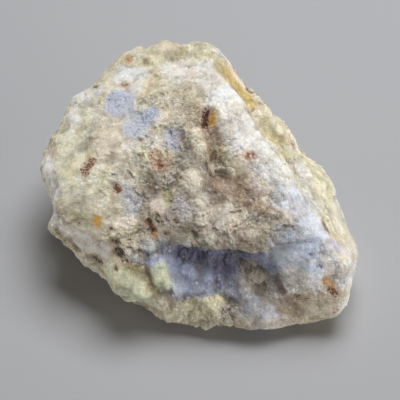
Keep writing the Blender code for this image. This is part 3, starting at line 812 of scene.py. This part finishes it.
broad = mottle(bare, 9.0, 80, 3)
middling = mottle(bare, 2.4, 81, 3)
fine = mottle(bare, 0.8, 82, 3)
colour = np.tile(CREAM, (len(bare), 1))
colour = lay(colour, GREY, smooth(0.5 + 0.9 * broad[:, 0] + 0.35 * middling[:, 0]) * 0.7)
colour = lay(colour, PALE_YELLOW, smooth(0.3 + 0.9 * broad[:, 1] + 0.4 * middling[:, 1]) * 0.45)
colour = lay(colour, PINK_WHITE, smooth(0.2 + 0.8 * broad[:, 2] + 0.5 * middling[:, 2]) * 0.4)
outward = bare / np.linalg.norm(bare, axis=1, keepdims=True)
for number, (compass, lift, spread, wash, strength) in enumerate(WASHES.values()):
    turn = np.degrees(np.arccos(np.clip(outward @ unit(compass, lift), -1, 1)))
    colour = lay(colour, wash, strength * smooth(1.3 - turn / spread + 0.6 * ragged[:, number % 4]))
for number, (marks, half_width, patch, strength, raggedness) in enumerate(PATCHES.values()):
    reach = reach_of(marks, half_width, raggedness, number)
    colour = lay(colour, patch, strength * smooth((1.45 - reach) / 0.8))

grain = 0.75 + 0.6 * mottle(bare, 4.0, 84, 1)[:, 0]
for number, (marks, half_width) in enumerate(WAXY.values()):
    grain = np.minimum(grain, 1 - 0.6 * smooth(1.5 - reach_of(marks, half_width, 0.3, number)))

# Painted shade darkens the creases between the chips and flakes, the low crevices and a ring round the foot
# of each lump, and painted light makes the lumps paler.
crease = smooth((chips(wandered(bare), RELIEF[1][0], 1) + 0.02) / 0.16)
rise, light, warmth = fine_relief(bare)
seam = CHIP_SEAM_SHADE_SHARE * smooth((chips(bare, SUGAR[1][0], 21) - 0.02) / 0.22)
for number, (marks, radius, height) in enumerate(LUMPS.values()):
    reach = reach_of(marks, radius, 0.25, number)
    rise += height * smooth(1.6 - 1.3 * reach)
    light += 0.07 * smooth(1.3 - reach)
    seam = np.maximum(seam, LUMP_FOOT_SHADE_SHARE * smooth(2.2 - np.abs(reach - 1.15) / 0.12))
# Painted light and shade: raised places are made lighter and sunken ones darker, besides the random mottle.
tone = TONE * (1 + light + 0.05 * middling[:, 0] + 0.05 * fine[:, 0] + 0.20 * np.clip(rise, -0.5, 0.4))
colour *= tone[:, None] * (1 + warmth[:, None] * (0.25, 0.05, -0.5))
# Painted shade in the creases, in the low crevices, and in the seams and the rings round the lumps.
colour = lay(colour, colour * CREASE_SHADE_TINT, CREASE_SHADE_SHARE * crease)
colour = lay(colour, colour * CREVICE_SHADE_TINT, CREVICE_SHADE_SHARE * grain * smooth((-0.14 - rise) / 0.30))
colour = lay(colour, colour * CREVICE_SHADE_TINT, np.maximum(grain, 0.7) * seam)

sink = np.zeros(len(bare))
stain = np.zeros(len(bare))
stain_colour = colour.copy()
spots = [(on_stone(marks), *spot) for marks, *spot in SPOTS.values()]
spots += [(on_ray(angles), *spot) for angles, *spot in FAR_SPOTS.values()]
for number, (route, half_width, spot_depth, cover, spot_colour, halo) in enumerate(spots):
    shift, _ = along(bare, route)
    gap = np.linalg.norm(shift, axis=1) - half_width * (1 - 0.6 * ragged[:, number % 4])
    colour = lay(colour, halo, HALO_SHARE * smooth(1.1 - gap / 0.9))
    soft = 0.4 + 0.5 * half_width
    share = np.clip(0.5 - gap / (2 * soft), 0, cover)
    stain_colour = lay(stain_colour, spot_colour, (share >= stain) * smooth(1.8 - gap / soft))
    stain = np.maximum(stain, share)
    sink += spot_depth * smooth(0.8 - gap / 0.7)

stone_points = bare + rays * (grain * rise - sink)[:, None] + HEART
stone_points[:, 2] = np.maximum(stone_points[:, 2], 0)
low, high = (np.array(corner) / MM for corner in CAD_BOX)
stone_points = np.clip(stone_points, low, high)

mesh = bpy.data.meshes.new("hackmanite_skin")
mesh.vertices.add(len(stone_points))
mesh.vertices.foreach_set("co", (stone_points * MM).ravel())
mesh.loops.add(squares.size)
mesh.loops.foreach_set("vertex_index", squares.ravel().astype(np.int32))
mesh.polygons.add(len(squares))
mesh.polygons.foreach_set("loop_start", np.arange(0, squares.size, 4, dtype=np.int32))
mesh.polygons.foreach_set("use_smooth", np.ones(len(squares), bool))
mesh.update(calc_edges=True)
for name, tint in (("stone_colour", colour), ("stain_colour", stain_colour)):
    tint = tint * np.minimum(1, BRIGHTEST / tint.max(axis=1, keepdims=True))
    rgba = np.concatenate([tint, np.ones((len(tint), 1))], axis=1)
    mesh.color_attributes.new(name, "FLOAT_COLOR", "POINT").data.foreach_set("color", rgba.ravel())
mesh.attributes.new("stain", "FLOAT", "POINT").data.foreach_set("value", stain)
mesh.attributes.new("grain", "FLOAT", "POINT").data.foreach_set("value", grain)
skin = bpy.data.objects.new("hackmanite_skin", mesh)
bpy.context.scene.collection.objects.link(skin)


# --- Stone: skin ----------------------------------------------------------------------------------------
# A crust of sugar-like crystal grains, each a shade lighter or darker than the next, with painted glints on a
# few, dark brown specks as fine as pepper, and pale flecks. Where the stone is waxy it is smoother and
# shinier.
SPECK = (0.16, 0.11, 0.075, 1)
FLECK = (0.84, 0.83, 0.80, 1)
PAINTED_GLINT = (1.25, 1.26, 1.29, 1)
GRAIN_SCALE = 2600.0  # cells to the metre
SPECK_SCALE = 620.0
CRUMB_SCALE = 1150.0
HAZE_SCALE = 3200.0
BUMP_HEIGHT = 0.00035


def node(kind, settings=None, **inputs):
    """A shader node of this kind. Inputs take a value, or a link from another node's output."""
    made = nodes.new("ShaderNode" + kind)
    for name, value in (settings or {}).items():
        setattr(made, name, value)
    for name, value in inputs.items():
        socket = made.inputs[int(name[1:]) if name[1:].isdigit() else name.replace("_", " ")]
        if isinstance(value, bpy.types.NodeSocket):
            links.new(value, socket)
        else:
            socket.default_value = value
    return made


def ranged(value, low, high, to_low, to_high):
    """A value moved in a straight line from one range to another, and held within it."""
    made = node("MapRange", None, Value=value, From_Min=low, From_Max=high, To_Min=to_low, To_Max=to_high)
    return made.outputs[0]


def times(one, other):
    """The product of two values."""
    return node("Math", {"operation": "MULTIPLY"}, _0=one, _1=other).outputs[0]


def scaled_sum(one, factor, other):
    """One value times a factor, plus another value."""
    return node("Math", {"operation": "MULTIPLY_ADD"}, _0=one, _1=factor, _2=other).outputs[0]


def laid(name, output):
    """What the mesh holds under this name, from this output."""
    return node("Attribute", {"attribute_name": name}).outputs[output]


def grains(scale):
    """Cells of this many to the metre, and three draws from 0 to 1 for each."""
    made = node("TexVoronoi", None, Vector=place, Scale=scale)
    return made, node("SeparateColor", None, _0=made.outputs["Color"]).outputs


def mixed(blend, share, under, over):
    """A colour laid over another, in this way and share."""
    return node("Mix", {"data_type": "RGBA", "blend_type": blend}, _0=share, _6=under, _7=over).outputs[2]


material = bpy.data.materials.new("hackmanite")
material.use_nodes = True
nodes, links = material.node_tree.nodes, material.node_tree.links
surface = nodes["Principled BSDF"]
place = node("TexCoord").outputs["Object"]
ground = laid("stone_colour", "Color")
stained = laid("stain_colour", "Color")
stain_share = laid("stain", "Fac")
grainy = laid("grain", "Fac")

haze = node("TexNoise", None, Vector=place, Scale=HAZE_SCALE, Detail=3.0, Roughness=0.65).outputs[0]
cells, cell_draw = grains(GRAIN_SCALE)
specks, speck_draw = grains(SPECK_SCALE)
crumbs, crumb_draw = grains(CRUMB_SCALE)

broken = scaled_sum(cell_draw[0], 0.45, scaled_sum(haze, 1.6, stain_share))
painted = mixed("MIX", ranged(broken, 1.42, 1.66, 0.0, 1.0), ground, stained)
tinted = mixed("MULTIPLY", 1.0, painted, ranged(haze, 0.3, 0.7, 0.82, 1.16))
tinted = mixed("MULTIPLY", grainy, tinted, ranged(cell_draw[0], 0.0, 1.0, 0.80, 1.17))
tinted = mixed("OVERLAY", 0.05, tinted, cells.outputs["Color"])
# Painted glint: a few grains in the grainy places have their colour brightened past white.
painted_glint = times(ranged(cell_draw[1], 0.88, 0.97, 0.0, 1.0), grainy)
tinted = mixed("MULTIPLY", painted_glint, tinted, PAINTED_GLINT)
speck_size = ranged(specks.outputs["Distance"], 0.10, 0.20, 1.0, 0.0)
speck = times(times(speck_size, ranged(speck_draw[0], 0.70, 0.74, 0.0, 0.75)), grainy)
tinted = mixed("MIX", speck, tinted, SPECK)
fleck_size = ranged(crumbs.outputs["Distance"], 0.15, 0.5, 1.0, 0.0)
fleck = times(fleck_size, ranged(crumb_draw[0], 0.82, 1.0, 0.0, 0.6))
tinted = mixed("MIX", fleck, tinted, FLECK)
links.new(tinted, surface.inputs["Base Color"])

shine = ranged(cell_draw[2], 0.0, 1.0, 0.42, 0.78)
dullness = node("Mix", {"data_type": "FLOAT"}, _0=grainy, _2=0.42, _3=shine).outputs[0]
links.new(dullness, surface.inputs["Roughness"])
bumps = scaled_sum(cells.outputs["Distance"], -0.5, haze)
bumps = scaled_sum(crumbs.outputs["Distance"], -1.2, bumps)
bump = node("Bump", None, Strength=ranged(grainy, 0.3, 1.0, 0.25, 0.85), Distance=BUMP_HEIGHT, Height=bumps)
links.new(bump.outputs[0], surface.inputs["Normal"])
surface.inputs["Subsurface Weight"].default_value = 0.12
surface.inputs["Subsurface Radius"].default_value = (1.0, 0.85, 0.7)
surface.inputs["Subsurface Scale"].default_value = 0.0007
surface.inputs["IOR"].default_value = 1.48
mesh.materials.append(material)

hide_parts("hackmanite_stone")
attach(skin, "root")


# --- Floor and light ------------------------------------------------------------------------------------
# A plain pale grey sheet, one large soft lamp high behind the stone's right shoulder, three weak low ones
# from the left, the front left and the right, and a little light from all round.
FLOOR_GREY = (0.42, 0.425, 0.44, 1)
LAMPS = {  # place, width and height, power and colour
    "key": ((0.10, 0.155, 0.51), (0.34, 0.34), 2.98, (0.985, 0.99, 1.0)),
    "fill": ((-0.25, -0.62, 0.085), (0.50, 0.13), 0.45, (1.0, 0.95, 0.89)),
    "left": ((-0.60, 0.0, 0.075), (0.40, 0.12), 0.95, (1.0, 0.96, 0.91)),
    "side": ((0.55, -0.28, 0.085), (0.40, 0.12), 1.9, (1.0, 0.96, 0.92)),
}
LIT_PLACE = (0, 0, 0.015)  # where the lamps point
SKY = (1.0, 0.93, 0.86, 1)
SKY_STRENGTH = 0.04

floor_mesh = bpy.data.meshes.new("floor")
floor_mesh.from_pydata([(-3, -3, 0), (3, -3, 0), (3, 3, 0), (-3, 3, 0)], [], [(0, 1, 2, 3)])
floor = bpy.data.objects.new("floor", floor_mesh)
floor_material = bpy.data.materials.new("pale_floor")
floor_material.use_nodes = True
floor_surface = floor_material.node_tree.nodes["Principled BSDF"]
floor_surface.inputs["Base Color"].default_value = FLOOR_GREY
floor_surface.inputs["Roughness"].default_value = 0.85
floor_mesh.materials.append(floor_material)
bpy.context.scene.collection.objects.link(floor)

for name, (lamp_place, size, power, lamp_colour) in LAMPS.items():
    lamp = bpy.data.lights.new(name, "AREA")
    lamp.shape = "RECTANGLE"
    lamp.size, lamp.size_y = size
    lamp.energy = power
    lamp.color = lamp_colour
    holder = bpy.data.objects.new(name, lamp)
    holder.location = lamp_place
    away = Vector(lamp_place) - Vector(LIT_PLACE)
    holder.rotation_euler = away.to_track_quat("Z", "Y").to_euler()
    bpy.context.scene.collection.objects.link(holder)

world = bpy.data.worlds.new("room")
world.use_nodes = True
world.node_tree.nodes["Background"].inputs["Color"].default_value = SKY
world.node_tree.nodes["Background"].inputs["Strength"].default_value = SKY_STRENGTH
bpy.context.scene.world = world
bpy.context.scene.view_settings.view_transform = "Standard"
